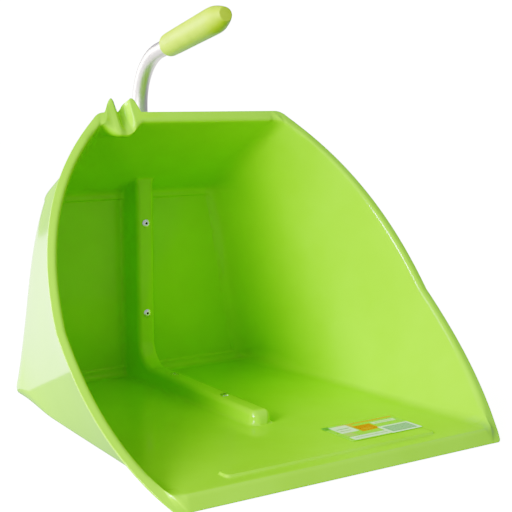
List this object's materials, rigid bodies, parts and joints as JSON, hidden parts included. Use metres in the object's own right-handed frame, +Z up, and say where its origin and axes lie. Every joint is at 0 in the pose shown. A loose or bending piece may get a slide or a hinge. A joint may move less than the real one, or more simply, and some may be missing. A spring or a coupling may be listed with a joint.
{
  "type": "garden scoop",
  "caption": "Deep moulded plastic yard scoop with a flared open mouth, riveted bent tube handle and soft grip, for gathering leaves and garden waste.",
  "frame": {"origin": "centre of the bounding box footprint, at the level the scoop rests on", "axes": "+Z up; the mouth and its thin front lip face -Y, the back wall faces +Y; +X runs across the mouth"},
  "size_m": [0.4826, 0.48, 0.4742],
  "materials": {
    "pan_green_plastic": "glossy moulded lime-green polypropylene",
    "grip_soft_green": "satin soft light-green rubber-like sleeve",
    "tube_aluminium": "drawn, bare, satin",
    "rivet_steel": "bright blind-rivet head",
    "mandrel_steel": "snapped steel mandrel",
    "plug_black_plastic": "matt black cap",
    "label_paper": null
  },
  "bodies": {
    "root": {"pan": "pan_green_plastic", "handle_tube": "tube_aluminium", "hand_grip": "grip_soft_green", "tube_end_plug": "plug_black_plastic", "label_sticker": "label_paper", "rivet_back_upper": "rivet_steel", "rivet_back_lower": "rivet_steel", "rivet_floor_rear": "rivet_steel", "rivet_floor_front": "rivet_steel", "rivet_pin_back_upper": "mandrel_steel", "rivet_pin_back_lower": "mandrel_steel", "rivet_pin_floor_rear": "mandrel_steel", "rivet_pin_floor_front": "mandrel_steel"}
  },
  "joints": []
}
